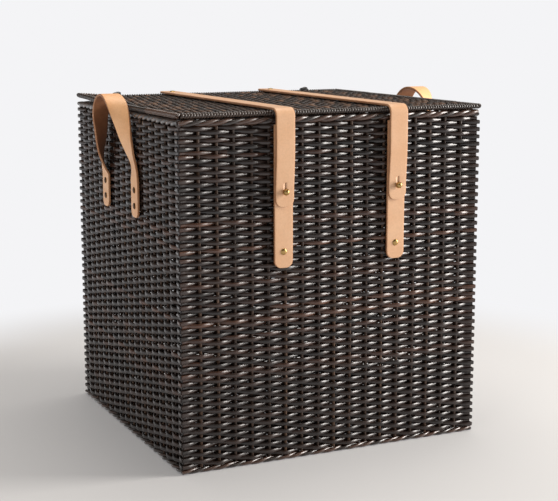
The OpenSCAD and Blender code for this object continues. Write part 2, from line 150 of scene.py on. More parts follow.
def mesh_piece(name, points, faces, materials, kinds=None):
    """A smooth mesh object from points and faces. kinds gives each face's material number."""
    mesh = bpy.data.meshes.new(name)
    mesh.from_pydata([tuple(p) for p in points], [], faces)
    for material in materials:
        mesh.materials.append(material)
    if kinds is not None:
        mesh.polygons.foreach_set("material_index", kinds)
    mesh.polygons.foreach_set("use_smooth", [True] * len(mesh.polygons))
    mesh.update()
    return link_in(bpy.data.objects.new(name, mesh))


# ---------------------------------------------------------------- materials
def shader(name, **values):
    """A material with one Principled shader, whose constant values are set on its own sockets."""
    material = bpy.data.materials.new(name)
    material.use_nodes = True
    surface = material.node_tree.nodes["Principled BSDF"]
    for key, value in values.items():
        surface.inputs[key.replace("_", " ")].default_value = value
    return material, material.node_tree, surface


def dress(material, tree, surface, colour, rough=None, height=None, strength=0.0, deep=0.0):
    """Joins a colour, and where given a roughness and a relief, to the material's shader."""
    tree.links.new(colour, surface.inputs["Base Color"])
    if rough:
        tree.links.new(rough.outputs[0], surface.inputs["Roughness"])
    if height:
        relief = add(tree, "ShaderNodeBump", {"Height": height, "Strength": strength, "Distance": deep})
        tree.links.new(relief.outputs[0], surface.inputs["Normal"])
    return material


def scaled(tree, colour, amount):
    """A colour made lighter or darker by an amount."""
    made = add(tree, "ShaderNodeVectorMath", {0: colour, "Scale": amount}, operation="SCALE")
    return made.outputs["Vector"]


def between(tree, share, dark, light):
    """A colour between two hex colours."""
    made = add(tree, "ShaderNodeMix", {"Factor": share, "A": linear(dark), "B": linear(light)},
               data_type="RGBA")
    return made.outputs["Result"]


def cane(name, tones, roughness=0.38, coat=0.65):
    """Split cane, stained dark and lacquered: satin gloss over long fibres, no two weavers quite alike."""
    material, tree, surface = shader(name, Specular_IOR_Level=0.3, Coat_Weight=coat, Coat_Roughness=0.27,
                                     Coat_IOR=1.55)
    tone = add(tree, "ShaderNodeAttribute", attribute_name="tone")
    along = add(tree, "ShaderNodeAttribute", attribute_name="along")
    around = add(tree, "ShaderNodeAttribute", attribute_name="around")
    shift = calc(tree, "MULTIPLY", tone.outputs["Fac"], 37.0)
    run = calc(tree, "MULTIPLY", along.outputs["Fac"], 14.0)
    turn = calc(tree, "MULTIPLY", around.outputs["Fac"], 8.1)
    place = vector(tree, run, turn, shift)
    fibre = add(tree, "ShaderNodeTexNoise", {"Vector": place, "Scale": 2.2, "Detail": 5.0, "Roughness": 0.6})
    blotch = add(tree, "ShaderNodeTexNoise", {"Vector": place, "Scale": 0.35, "Detail": 3.0})
    pick = calc(tree, "MULTIPLY_ADD", blotch, 0.34, -0.17)
    pick = calc(tree, "ADD", tone.outputs["Fac"], pick)
    ramp = add(tree, "ShaderNodeValToRGB", {0: pick})
    steps = ramp.color_ramp.elements
    while len(steps) < len(tones):
        steps.new(0.5)
    for step, (place_at, colour) in zip(steps, tones):
        step.position = place_at
        step.color = linear(colour)
    thin = remap(tree, fibre, 0.35, 0.75, 0.62, 1.35)
    rough = remap(tree, fibre, 0.3, 0.8, roughness - 0.08, roughness + 0.16)
    return dress(material, tree, surface, scaled(tree, ramp, thin), rough, fibre, 0.25, 0.4 * MM)


def leather(name, light, dark, roughness=0.45, grain=0.35):
    """Vegetable-tanned hide: a warm matt sheen, soft clouds of colour, fine pores and a few scuffs."""
    material, tree, surface = shader(name, Sheen_Weight=0.06, Sheen_Roughness=0.5)
    spot = add(tree, "ShaderNodeTexCoord").outputs["Object"]
    cloud = add(tree, "ShaderNodeTexNoise",
                {"Vector": spot, "Scale": 26.0, "Detail": 6.0, "Roughness": 0.55})
    shade = remap(tree, cloud, 0.32, 0.7)
    colour = between(tree, shade, dark, light)
    # Real pores are about 0.3 mm apart; these are 0.9 mm, so that they show
    pores = add(tree, "ShaderNodeTexVoronoi", {"Vector": spot, "Scale": 1 / (0.9 * MM)})
    fine = add(tree, "ShaderNodeTexNoise", {"Vector": spot, "Scale": 420.0, "Detail": 4.0})
    speck = remap(tree, fine, 0.25, 0.75, 0.93, 1.04)
    rough = remap(tree, cloud, 0.3, 0.7, roughness + 0.07, roughness - 0.07)
    height = calc(tree, "ADD", pores.outputs["Distance"], fine)
    return dress(material, tree, surface, scaled(tree, colour, speck), rough, height, grain, 0.12 * MM)


def metal(name, colour, roughness):
    """Turned brass: warm mirror highlights, dulled by handling. The darker kind is painted shade: brass made
    dark to stand in for rivets that sit in shade.
    """
    material, tree, surface = shader(name, Metallic=1.0)
    spot = add(tree, "ShaderNodeTexCoord").outputs["Object"]
    smear = add(tree, "ShaderNodeTexNoise", {"Vector": spot, "Scale": 300.0, "Detail": 4.0})
    tint = remap(tree, smear, 0.3, 0.75, 0.8, 1.05)
    rough = remap(tree, smear, 0.3, 0.8, roughness, roughness + 0.14)
    return dress(material, tree, surface, scaled(tree, linear(colour)[:3], tint), rough)


def pole_wood(name, light, dark):
    """Whole rattan pole, stained and left matt: a faint grain that breaks up the brown."""
    material, tree, surface = shader(name, Roughness=0.5)
    spot = add(tree, "ShaderNodeTexCoord").outputs["Object"]
    fibre = add(tree, "ShaderNodeTexNoise", {"Vector": spot, "Scale": 60.0, "Detail": 8.0, "Roughness": 0.7})
    colour = between(tree, remap(tree, fibre, 0.3, 0.7), dark, light)
    return dress(material, tree, surface, colour, None, fibre, 0.3, 0.4 * MM)


DARK_TONES = [(0.0, "#150c09"), (0.4, "#20130e"), (0.75, "#2e1d15"), (0.93, "#42291e"), (1.0, "#5a3a29")]
WOVEN_CANE = cane("stained lacquered cane", DARK_TONES)
# Lid cane: its own streaky brown, made lighter as a painted reflection of the bright backdrop on the lid top
LID_CANE_PAINTED_SHEEN = cane("lid cane, lighter for painted sheen", [(0.0, "#1a120e"), (0.4, "#35241a"), (0.75, "#5a4030"), (1.0, "#86634a")],
                roughness=0.42)
BORDER_CANE = cane("border cane", [(0.0, "#1c130e"), (0.45, "#34231a"), (0.75, "#573726"), (1.0, "#835a3e")],
                   coat=1.0)
BINDING_CANE = cane("binding cane", [(0.0, "#1c1410"), (0.6, "#3c2c22"), (1.0, "#63493a")], roughness=0.3)
# Stake cane: its own natural brown, made darker as painted shade for the recesses beside the stakes
STAKE_CANE_PAINTED_SHADE = cane("round stake cane, darkened for painted shade", [(0.0, "#241811"), (0.5, "#432f22"), (1.0, "#674c37")],
                  roughness=0.5, coat=0.0)
HINGE_CANE = cane("hinge cane", [(0.0, "#100b09"), (1.0, "#2b1f19")])
GRAIN_LEATHER = leather("vegetable-tanned leather, grain side", "#e0b48e", "#d8a77e")
# The handles' grain side is a lighter copy of the strap leather: painted light for the light falling on the
# handles
HANDLE_LEATHER_PAINTED_LIGHT = leather("vegetable-tanned leather, painted lighter for lit handles", "#fcc590", "#f0b27a")
EDGE_LEATHER = leather("vegetable-tanned leather, cut edge", "#c8946a", "#a8714a", roughness=0.6, grain=0.6)
# Flesh side: its own rough brown, made darker as painted shade for the shaded inside of the handle loops
FLESH_LEATHER_PAINTED_SHADE = leather("vegetable-tanned leather, flesh side", "#a87048", "#8a5533", roughness=0.8,
                        grain=0.8)
BRASS = metal("turned brass", "#b8965f", 0.24)
# Brass painted dark: painted shade for the handle rivets, which sit in shade and reflect dark surroundings
BRASS_PAINTED_SHADE = metal("brass painted dark for shade", "#5c4027", 0.35)
POLE_RATTAN = pole_wood("stained rattan pole", "#6b4a36", "#35241b")


# ---------------------------------------------------------------- cane work by Geometry Nodes
def cane_tree():
    """Strands that weave, twist or wrap along a wall, and the stakes that they pass.

    Before it bends, a strand lies along X and its rows rise along Z. Its depth out from the wall is a wave
    along the stakes, and the ends of the wall turn back round half a corner.
    """
    tree = bpy.data.node_groups.new("cane work", "GeometryNodeTree")
    tree.is_modifier = True
    for name, kind in (("Straight", "Float"), ("Corner Radius", "Float"), ("Spaces", "Int"),
                       ("First Stake", "Int"), ("Rows", "Int"), ("Row Pitch", "Float"), ("Low", "Float"),
                       ("Lay", "Float"), ("Row Shift", "Float"), ("Depth", "Float"), ("Rise", "Float"),
                       ("Corner Tightness", "Float"), ("Width", "Float"), ("Thickness", "Float"),
                       ("Roundness", "Float"), ("Sides", "Int"),
                       ("Steps Per Space", "Int"), ("Wander", "Float"), ("Seed", "Int"),
                       ("Stakes", "Bool"), ("Material", "Material")):
        tree.interface.new_socket(name, in_out="INPUT", socket_type="NodeSocket" + kind)
    tree.interface.new_socket("Mesh", in_out="OUTPUT", socket_type="NodeSocketGeometry")
    given = add(tree, "NodeGroupInput").outputs
    spaces, straight, corner = given["Spaces"], given["Straight"], given["Corner Radius"]

    arc = calc(tree, "MULTIPLY", corner, math.pi / 2)
    span = calc(tree, "ADD", straight, arc)
    start = calc(tree, "MULTIPLY", span, -0.5)
    finish = calc(tree, "MULTIPLY", span, 0.5)

    # Rows of strands
    first_row = vector(tree, 0.0, 0.0, given["Low"])
    row_step = vector(tree, 0.0, 0.0, given["Row Pitch"])
    row_points = add(tree, "GeometryNodeMeshLine",
                     {"Count": given["Rows"], "Start Location": first_row, "Offset": row_step})
    strand = add(tree, "GeometryNodeCurvePrimitiveLine",
                 {"Start": vector(tree, start),
                  "End": vector(tree, finish)})
    steps = calc(tree, "MULTIPLY_ADD", spaces, given["Steps Per Space"], 1.0)
    strand = add(tree, "GeometryNodeResampleCurve", {"Curve": strand, "Count": steps})
    strands = add(tree, "GeometryNodeInstanceOnPoints", {"Points": row_points, "Instance": strand})

    # Upright stakes, one at the end of each space but the last
    pitch = calc(tree, "DIVIDE", span, spaces)
    inner = calc(tree, "SUBTRACT", spaces, 1.0)
    first_stake = calc(tree, "ADD", start, pitch)
    height = calc(tree, "MULTIPLY", given["Rows"], given["Row Pitch"])
    stake_points = add(tree, "GeometryNodeMeshLine",
                       {"Count": inner,
                        "Start Location": vector(tree, first_stake, 0.0, given["Low"]),
                        "Offset": vector(tree, pitch)})
    stake = add(tree, "GeometryNodeCurvePrimitiveLine",
                {"End": vector(tree, 0.0, 0.0, height)})
    stake = add(tree, "GeometryNodeResampleCurve", {"Curve": stake, "Count": 40})
    stakes = add(tree, "GeometryNodeInstanceOnPoints", {"Points": stake_points, "Instance": stake})
    lines = add(tree, "GeometryNodeSwitch",
                {"Switch": given["Stakes"], "False": strands, "True": stakes}, input_type="GEOMETRY")
    lines = add(tree, "GeometryNodeRealizeInstances", {"Geometry": lines})

    # Where each point is: s along the wall, k in stakes, and its row
    split = add(tree, "ShaderNodeSeparateXYZ", {0: add(tree, "GeometryNodeInputPosition")})
    s, z = split.outputs["X"], split.outputs["Z"]
    row = add(tree, "GeometryNodeCurveOfPoint").outputs["Curve Index"]
    share = calc(tree, "DIVIDE", s, span)
    centred = calc(tree, "ADD", share, 0.5)
    k = calc(tree, "MULTIPLY_ADD", centred, spaces, given["First Stake"])

    # The wave: a cosine sharpened towards the straight runs that a tight weaver takes between stakes
    turns = calc(tree, "DIVIDE", k, given["Lay"])
    turns = calc(tree, "MULTIPLY_ADD", row, given["Row Shift"], turns)
    angle = calc(tree, "MULTIPLY", turns, 2 * math.pi)
    wave = calc(tree, "COSINE", angle)
    angle3 = calc(tree, "MULTIPLY", angle, 3.0)
    sharp = calc(tree, "COSINE", angle3)
    weaving = calc(tree, "LESS_THAN", given["Rise"], 1e-6)
    sharp = calc(tree, "MULTIPLY", sharp, weaving)
    wave = calc(tree, "MULTIPLY_ADD", sharp, 0.09, wave)
    lift = calc(tree, "SINE", angle)

    # Handwork: stakes stand a little off their marks, rows ride up and down, weavers differ in depth
    seed_z = calc(tree, "MULTIPLY", given["Seed"], 13.7)
    lean_at = add(tree, "ShaderNodeCombineXYZ",
                  {0: calc(tree, "MULTIPLY", s, 28.0),
                   1: calc(tree, "MULTIPLY", z, 3.0), 2: seed_z})
    lean = add(tree, "ShaderNodeTexNoise", {"Vector": lean_at, "Scale": 1.0, "Detail": 1.0})
    off_end = calc(tree, "MULTIPLY", share, 2.0)
    off_end = calc(tree, "POWER", off_end, 8.0)
    off_end = calc(tree, "SUBTRACT", 1.0, off_end, use_clamp=True)
    lean = calc(tree, "SUBTRACT", lean, 0.5)
    lean = calc(tree, "MULTIPLY", lean, off_end)
    lean = calc(tree, "MULTIPLY", lean, given["Wander"])
    lean = calc(tree, "MULTIPLY", lean, 6.0)
    ride_at = add(tree, "ShaderNodeCombineXYZ",
                  {0: calc(tree, "MULTIPLY", s, 45.0),
                   1: calc(tree, "MULTIPLY", row, 0.43), 2: seed_z})
    ride = add(tree, "ShaderNodeTexNoise", {"Vector": ride_at, "Scale": 1.0, "Detail": 2.0})
    ride = calc(tree, "SUBTRACT", ride, 0.5)
    ride = calc(tree, "MULTIPLY", ride, off_end)
    ride = calc(tree, "MULTIPLY", ride, given["Wander"])
    ride = calc(tree, "MULTIPLY", ride, 2.6)
    deep = add(tree, "ShaderNodeTexNoise",
               {"Vector": add(tree, "ShaderNodeVectorMath", {0: ride_at, 1: (5.3, 31.0, 2.0)},
                              operation="ADD"), "Scale": 1.3})
    deep = remap(tree, deep, 0.3, 0.7, 0.84, 1.12)
    depth = calc(tree, "MULTIPLY", wave, given["Depth"])
    depth = calc(tree, "MULTIPLY", depth, deep)
    # Pulled tight round a corner, every row lies near the outside
    to_end = add(tree, "ShaderNodeMapRange",
                 {0: calc(tree, "ABSOLUTE", share), 1: 0.5, 2: 0.475,
                  3: given["Corner Tightness"], 4: 0.0}, interpolation_type="SMOOTHSTEP")
    depth = add(tree, "ShaderNodeMix", {"Factor": to_end, "A": depth, "B": given["Depth"]}).outputs["Result"]

    # The wall's line: straight, then half a corner at each end
    half = calc(tree, "MULTIPLY", straight, 0.5)
    size = calc(tree, "ABSOLUTE", s)
    side = calc(tree, "SIGN", s)
    over = calc(tree, "SUBTRACT", size, half)
    over = calc(tree, "MAXIMUM", over, 0.0)
    bend = calc(tree, "DIVIDE", over, corner)
    sine = calc(tree, "SINE", bend)
    cosine = calc(tree, "COSINE", bend)
    flat = calc(tree, "MINIMUM", size, half)
    reach = calc(tree, "ADD", corner, depth)
    square = calc(tree, "DIVIDE", 1.0, cosine)
    reach = calc(tree, "MULTIPLY", reach, square)
    run = calc(tree, "MULTIPLY_ADD", sine, reach, flat)
    x = calc(tree, "MULTIPLY_ADD", run, side, lean)
    back = calc(tree, "MULTIPLY", cosine, reach)
    y = calc(tree, "SUBTRACT", corner, back)
    up = calc(tree, "MULTIPLY_ADD", lift, given["Rise"], z)
    up = calc(tree, "ADD", up, ride)
    put = vector(tree, x, y, up)

    # One weaver lasts 33 spaces and tapers from its thick end to its thin end
    age = calc(tree, "MULTIPLY_ADD", row, 7.3, k)
    age = calc(tree, "DIVIDE", age, 33.0)
    which = calc(tree, "FLOOR", age)
    part = calc(tree, "FRACT", age)
    taper = remap(tree, part, 0.0, 1.0, 1.09, 0.9)
    chosen = vector(tree, row, which, seed_z)
    tone = add(tree, "ShaderNodeTexWhiteNoise", {"Vector": chosen})
    along = add(tree, "GeometryNodeSplineParameter").outputs["Length"]
    for label, value in (("tone", tone.outputs["Value"]), ("along", along), ("girth", taper)):
        lines = add(tree, "GeometryNodeStoreNamedAttribute",
                    {"Geometry": lines, "Name": label, "Value": value})
    lines = add(tree, "GeometryNodeSetPosition", {"Geometry": lines, "Position": put})
    lines = add(tree, "GeometryNodeSetCurveNormal", {"Curve": lines}, mode="Z_UP")

    ring = add(tree, "GeometryNodeCurvePrimitiveCircle", {"Resolution": given["Sides"], "Radius": 0.5})
    ring = add(tree, "GeometryNodeStoreNamedAttribute",
               {"Geometry": ring, "Name": "around",
                "Value": add(tree, "GeometryNodeSplineParameter").outputs["Factor"]})
    # Roundness 1 is an oval, and less is flatter, with rounded edges
    corner_of = add(tree, "ShaderNodeSeparateXYZ", {0: add(tree, "GeometryNodeInputPosition")})
    flattened = []
    for axis in ("X", "Y"):
        part = calc(tree, "MULTIPLY", corner_of.outputs[axis], 2.0)
        way = calc(tree, "SIGN", part)
        part = calc(tree, "ABSOLUTE", part)
        part = calc(tree, "POWER", part, given["Roundness"])
        part = calc(tree, "MULTIPLY", part, way)
        flattened.append(calc(tree, "MULTIPLY", part, 0.5))
    ring = add(tree, "GeometryNodeSetPosition",
               {"Geometry": ring, "Position": add(tree, "ShaderNodeCombineXYZ", dict(enumerate(flattened)))})
    section = vector(tree, given["Thickness"], given["Width"], 1.0)
    ring = add(tree, "GeometryNodeTransform", {"Geometry": ring, "Scale": section})
    girth = add(tree, "GeometryNodeInputNamedAttribute", {"Name": "girth"})
    mesh = add(tree, "GeometryNodeCurveToMesh",
               {"Curve": lines, "Profile Curve": ring, "Scale": girth, "Fill Caps": True})
    mesh = add(tree, "GeometryNodeSetShadeSmooth", {"Geometry": mesh})
    mesh = add(tree, "GeometryNodeRealizeInstances", {"Geometry": mesh})
    mesh = add(tree, "GeometryNodeSetMaterial", {"Geometry": mesh, "Material": given["Material"]})
    add(tree, "NodeGroupOutput", {0: mesh})
    return tree


def grown(name, tree, values, place=Matrix(), places=()):
    """Runs a node tree with these inputs and keeps the result as a plain mesh, set in its place."""
    seed_mesh = bpy.data.meshes.new(name + "_seed")
    seed_mesh.from_pydata([tuple(p) for p in places], [], [])
    seed = link_in(bpy.data.objects.new(name + "_seed", seed_mesh))
    modifier = seed.modifiers.new("nodes", "NODES")
    modifier.node_group = tree
    for item in tree.interface.items_tree:
        if item.in_out == "INPUT" and item.name in values:
            modifier[item.identifier] = values[item.name]
    graph = bpy.context.evaluated_depsgraph_get()
    mesh = bpy.data.meshes.new_from_object(seed.evaluated_get(graph), depsgraph=graph)
    bpy.data.objects.remove(seed)
    mesh.name = name
    mesh.transform(place)
    return link_in(bpy.data.objects.new(name, mesh))


CANE = cane_tree()
# Quarter turns that carry the front's weave to each wall: name, turns, spaces, first stake
SIDES = (("front", 0, SPACES_FRONT, 0), ("right", 1, SPACES_SIDE, SPACES_FRONT),
         ("back", 2, SPACES_FRONT, SPACES_FRONT + SPACES_SIDE),
         ("left", 3, SPACES_SIDE, 2 * SPACES_FRONT + SPACES_SIDE))


def round_the_basket(name, values, half_x, half_y, radius, material, body, nodes, wrap_pitch=None):
    """Makes one piece of cane work for each side of a rounded rectangle, so that its strands run on.

    A wrap has its own pitch along the side; everything else keeps to the stake spaces.
    """
    made = []
    for side, quarter, spaces, first in SIDES:
        ends, out = (half_x, half_y) if quarter % 2 == 0 else (half_y, half_x)
        straight = 2 * (ends - radius)
        if wrap_pitch:
            spaces = round((straight + math.pi / 2 * radius) / wrap_pitch)
        inputs = {"Straight": straight, "Corner Radius": radius, "Spaces": spaces, "First Stake": first,
                  "Seed": 0, "Roundness": 1.0, "Material": material, "Stakes": False, **values}
        place = Matrix.Rotation(quarter * math.pi / 2, 4, "Z") @ Matrix.Translation((0, -out, 0))
        piece = grown(name + "_" + side, CANE, inputs, place)
        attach(piece, body)
        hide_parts(nodes + "_" + side)
        made.append(piece)
    return made


WALL_ROWS = round((WALL_HIGH[2] - WALL_LOW[2]) / ROW_PITCH)
WEAVE = {"Rows": WALL_ROWS, "Row Pitch": (WALL_HIGH[2] - WALL_LOW[2]) / WALL_ROWS,
         "Low": WALL_LOW[2] + ROW_PITCH / 2, "Lay": 2.0, "Row Shift": 0.5,
         "Depth": (STAKE_D + STRAND_T) / 2 - PRESS, "Rise": 0.0, "Width": STRAND_W, "Roundness": 0.6,
         "Corner Tightness": 0.65, "Thickness": STRAND_T, "Sides": 8, "Steps Per Space": 7,
         "Wander": 1.0 * MM}
round_the_basket("weave", WEAVE, MID_X, MID_Y, CORNER_R, WOVEN_CANE, "basket", "wall")

STAKES = {**WEAVE, "Low": WALL_LOW[2], "Depth": 0.0, "Width": STAKE_D, "Thickness": STAKE_D,
          "Roundness": 1.0, "Stakes": True, "Corner Tightness": 0.0}
round_the_basket("stakes", STAKES, MID_X, MID_Y, CORNER_R, STAKE_CANE_PAINTED_SHADE, "basket", "stakes")

# Rope borders: three plies twisted round the edge
for border_name, box in (("top_border", TOP_BORDER), ("bottom_border", LOW_BORDER)):
    tall = box[1][2] - box[0][2]
    thick = box[1][1] - box[0][1]
    ply = 0.6 * tall
    rope = {"Rows": ROPE_PLIES, "Row Pitch": 0.0, "Low": (box[0][2] + box[1][2]) / 2, "Lay": ROPE_LAY,
            "Row Shift": 1 / ROPE_PLIES, "Depth": (thick - 1.1 * ply) / 2, "Rise": (tall - ply) / 2,
            "Width": ply, "Thickness": 1.1 * ply, "Sides": 10, "Steps Per Space": 12, "Wander": 0.5 * MM}
    round_the_basket(border_name, rope, MID_X, MID_Y, CORNER_R, BORDER_CANE, "basket",
                     border_name)

# Lid: a rod at each edge, wrapped all along with fine cane
wraps = {"Rows": 1, "Row Pitch": 0.0, "Low": LID_Z, "Lay": 1.0, "Row Shift": 0.0, "Depth": ROD_R - 1.9 * MM,
         "Rise": ROD_R - 1.9 * MM, "Width": WRAP_D, "Thickness": WRAP_D, "Sides": 6,
         "Steps Per Space": 10, "Wander": 0.0}
lid_edges = round_the_basket("lid_edge", wraps, BACK_ROD[1][0] - ROD_R, ROD_Y, 7 * MM, BINDING_CANE, "lid",
                             "lid_rod", WRAP_PITCH)


LID_CURL = 4.2 * MM      # how far the lid's back left corner has lifted
HINGES = [[np.array(c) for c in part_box("hinge_loop_" + side)] for side in ("left", "right")]
HINGE_STRAND_R = 1.1 * MM
HINGE_R = ROD_R + HINGE_STRAND_R + 0.5 * MM    # middle of the hinge strand's turns round the rod


def eased(values, start, width):
    """0 up to start, 1 from start + width, and a smooth step between."""
    share = np.clip((values - start) / width, 0, 1)
    return share ** 2 * (3 - 2 * share)


def curl_lid(piece):
    """A used lid: its back left corner has lifted a few millimetres."""
    points = points_of(piece)
    points[:, 2] += LID_CURL * eased(-points[:, 0], 0.166, 0.062) * eased(points[:, 1], 0.050, 0.166)
    move_points(piece, points)


def clear_hinges(piece):
    """Draws the ends of the lid's strands back from the hinge loops, so that the lid can turn in them."""
    points = points_of(piece)
    end, clear = LID_PANEL[1][1], ROD_Y - HINGE_R - HINGE_STRAND_R - 1.2 * MM
    start = clear - 24 * MM
    for low, high in HINGES:
        near = (points[:, 0] > low[0] - 3 * MM) & (points[:, 0] < high[0] + 3 * MM) & (points[:, 1] > start)
        points[near, 1] = start + (points[near, 1] - start) * (clear - start) / (end - start)
    move_points(piece, points)


def flat_weave(name, box, body, nodes, material, wander, seed):
    """A flat woven panel: strands run front to back over stakes that run side to side."""
    low, high = box
    rows = round((high[0] - low[0]) / ROW_PITCH)
    thick = high[2] - low[2]
    strand = 0.42 * thick
    inputs = {"Straight": high[1] - low[1], "Corner Radius": 1e-5, "Spaces": 17, "First Stake": seed,
              "Rows": rows, "Row Pitch": (high[0] - low[0]) / rows,
              "Low": -(high[0] - low[0]) / 2 + ROW_PITCH / 2, "Lay": 2.0, "Row Shift": 0.5,
              "Depth": (thick - strand) / 2, "Rise": 0.0, "Width": STRAND_W, "Roundness": 0.65,
              "Thickness": strand, "Sides": 6, "Steps Per Space": 6, "Wander": wander, "Seed": seed,
              "Material": material, "Stakes": False}
    # Out of the wall becomes up, along the wall becomes front to back
    place = Matrix.Translation((0, 0, (low[2] + high[2]) / 2)) @ Matrix(
        ((0, 0, 1, 0), (1, 0, 0, 0), (0, -1, 0, 0), (0, 0, 0, 1)))
    panel = grown(name, CANE, inputs, place)
    bars = grown(name + "_stakes", CANE,
                 {**inputs, "Stakes": True, "Depth": 0.0, "Roundness": 1.0, "Width": FLAT_STAKE_D,
                  "Thickness": FLAT_STAKE_D, "Material": STAKE_CANE_PAINTED_SHADE, "Low": -(high[0] - low[0]) / 2}, place)
    for piece, slot, node in ((panel, "woven_cane", nodes[0]), (bars, "natural_stakes", nodes[1])):
        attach(piece, body)
        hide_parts(node)
    return panel, bars


lid_flats = flat_weave("lid_weave", LID_PANEL, "lid", ("lid_panel", "lid_stakes"), LID_CANE_PAINTED_SHEEN, 1.8 * MM, 3)
for lid_piece in (*lid_edges, *lid_flats):
    curl_lid(lid_piece)
clear_hinges(lid_flats[0])
flat_weave("base_weave", BASE_PANEL, "basket", ("base_panel", "base_stakes"), WOVEN_CANE, 1.0 * MM, 5)


# ---------------------------------------------------------------- leather
LEATHER_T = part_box("lower_strap_left")[1][1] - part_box("lower_strap_left")[0][1]
STRAP_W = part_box("lower_strap_left")[1][0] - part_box("lower_strap_left")[0][0]
EDGE_ROUND = 0.8 * MM    # radius of the burnished edges
END_R = 10 * MM          # radius of the two corners at a strap's end
BEND_R = 10 * MM         # bend of a strap over the front of the lid, at mid leather
LEATHER_STEP = 2.5 * MM  # length of leather between two rows of points


def face_outwards(piece):
    """Turns the faces of a closed mesh so that they all point outwards."""
    work = bmesh.new()
    work.from_mesh(piece.data)
    bmesh.ops.recalc_face_normals(work, faces=work.faces)
    work.to_mesh(piece.data)
    work.free()
    return piece


def end_shape(d):
    """(half width, half thickness) of a strap at distance d from its end, with two rounded corners."""
    d = min(max(d, 0.0), END_R)
    half_w = STRAP_W / 2 - END_R + math.sqrt(max(END_R ** 2 - (END_R - d) ** 2, 0.0))
    gone = max(0.0, 1 - d / EDGE_ROUND)
    return half_w, LEATHER_T / 2 - EDGE_ROUND * (1 - math.sqrt(1 - gone ** 2))


def sweep_leather(name, path, ends=(True, True), grain=GRAIN_LEATHER):
    """Leather with burnished edges along a path of (centre, across, face), with rounded ends where asked."""
    centres = np.array([p[0] for p in path])
    far = np.concatenate([[0.0], np.cumsum(np.linalg.norm(np.diff(centres, axis=0), axis=1))])
    quarter = np.linspace(0, math.pi / 2, 4)
    flat = np.linspace(-0.85, 0.85, 7)
    points, starts = [], []
    for (centre, across, face), gone in zip(path, far):
        half_w, half_t = STRAP_W / 2, LEATHER_T / 2
        for rounded, left in zip(ends, (gone, far[-1] - gone)):
            if rounded and left < END_R:
                half_w, half_t = end_shape(left)
        edge_r = min(EDGE_ROUND, 0.95 * half_t)
        centre, across, face = np.array(centre), np.array(across), np.array(face)
        starts.append(len(points))
        for sign_a, sign_t, order in ((1, 1, 1), (-1, 1, -1), (-1, -1, 1), (1, -1, -1)):
            for t in quarter[::order]:
                a = sign_a * (half_w - edge_r * (1 - math.cos(t)))
                b = sign_t * (half_t - edge_r * (1 - math.sin(t)))
                points.append(centre + across * a + face * b)
            if sign_a * sign_t > 0:
                for share in flat[::-sign_t]:
                    points.append(centre + across * share * (half_w - edge_r) + face * sign_t * half_t)
    count = len(points) // len(path)
    # Round the section: edge 3, grain side 8, edge 7, flesh side 8, edge 4
    kind_of = [1] * 3 + [0] * 8 + [1] * 7 + [2] * 8 + [1] * 4
    faces, kinds = [], []
    for first, second in zip(starts, starts[1:]):
        for c in range(count):
            d = (c + 1) % count
            faces.append((first + c, second + c, second + d, first + d))
            kinds.append(kind_of[c])
    faces += [tuple(starts[0] + c for c in range(count)),
              tuple(starts[-1] + c for c in reversed(range(count)))]
    materials = [grain, EDGE_LEATHER, FLESH_LEATHER_PAINTED_SHADE]
    return face_outwards(mesh_piece(name, points, faces, materials, kinds + [1, 1]))


def spaced(line, across, face_of, ends=(True, True)):
    """Even points along a smooth line of points, closer at rounded ends, as a path for sweep_leather."""
    line = np.array(line)
    far = np.concatenate([[0.0], np.cumsum(np.linalg.norm(np.diff(line, axis=0), axis=1))])
    total = far[-1]
    marks = list(np.linspace(0, total, int(total / LEATHER_STEP)))
    close = [END_R * (1 - math.cos(t)) for t in np.linspace(0.12, math.pi / 2, 11)]
    close += [0.05 * EDGE_ROUND, 0.2 * EDGE_ROUND, 0.5 * EDGE_ROUND]
    marks += close if ends[0] else []
    marks += [total - c for c in close] if ends[1] else []
    marks = np.unique(np.round(marks, 6))
    centres = np.stack([np.interp(marks, far, line[:, i]) for i in range(3)], 1)
    ahead = np.gradient(centres, marks, axis=0)
    ahead /= np.linalg.norm(ahead, axis=1)[:, None]
    return [(c, across, face_of(a)) for c, a in zip(centres, ahead)]


def cut_away(piece, shapes):
    """Cuts closed shapes out of a piece of leather. The cut faces are cut edge."""
    for shape in shapes:
        shape.data.materials.append(EDGE_LEATHER)
        cut = piece.modifiers.new("cut", "BOOLEAN")
        cut.object, cut.operation, cut.solver, cut.material_mode = shape, "DIFFERENCE", "EXACT", "TRANSFER"
        graph = bpy.context.evaluated_depsgraph_get()
        mesh = bpy.data.meshes.new_from_object(piece.evaluated_get(graph), depsgraph=graph)
        piece.modifiers.clear()
        piece.data = mesh
        bpy.data.objects.remove(shape)


def bar(name, centre, size):
    """A plain box, for cutting."""
    corners = [[c + s * h / 2 for c, s, h in zip(centre, signs, size)]
               for signs in [(x, y, z) for x in (-1, 1) for y in (-1, 1) for z in (-1, 1)]]
    faces = [(0, 1, 3, 2), (4, 6, 7, 5), (0, 4, 5, 1), (2, 3, 7, 6), (0, 2, 6, 4), (1, 5, 7, 3)]
    return face_outwards(mesh_piece(name, corners, faces, []))


def lathe(name, profile, materials, sides=32):
    """A turned shape about Z, from (radius, height) pairs."""
    points, faces = [], []
    for radius, height in profile:
        for i in range(sides):
            a = 2 * math.pi * i / sides
            points.append((max(radius, 1e-6) * math.cos(a), max(radius, 1e-6) * math.sin(a), height))
    for r in range(len(profile) - 1):
        for i in range(sides):
            j = (i + 1) % sides
            faces.append((r * sides + i, r * sides + j, (r + 1) * sides + j, (r + 1) * sides + i))
    return face_outwards(mesh_piece(name, points, faces, materials))


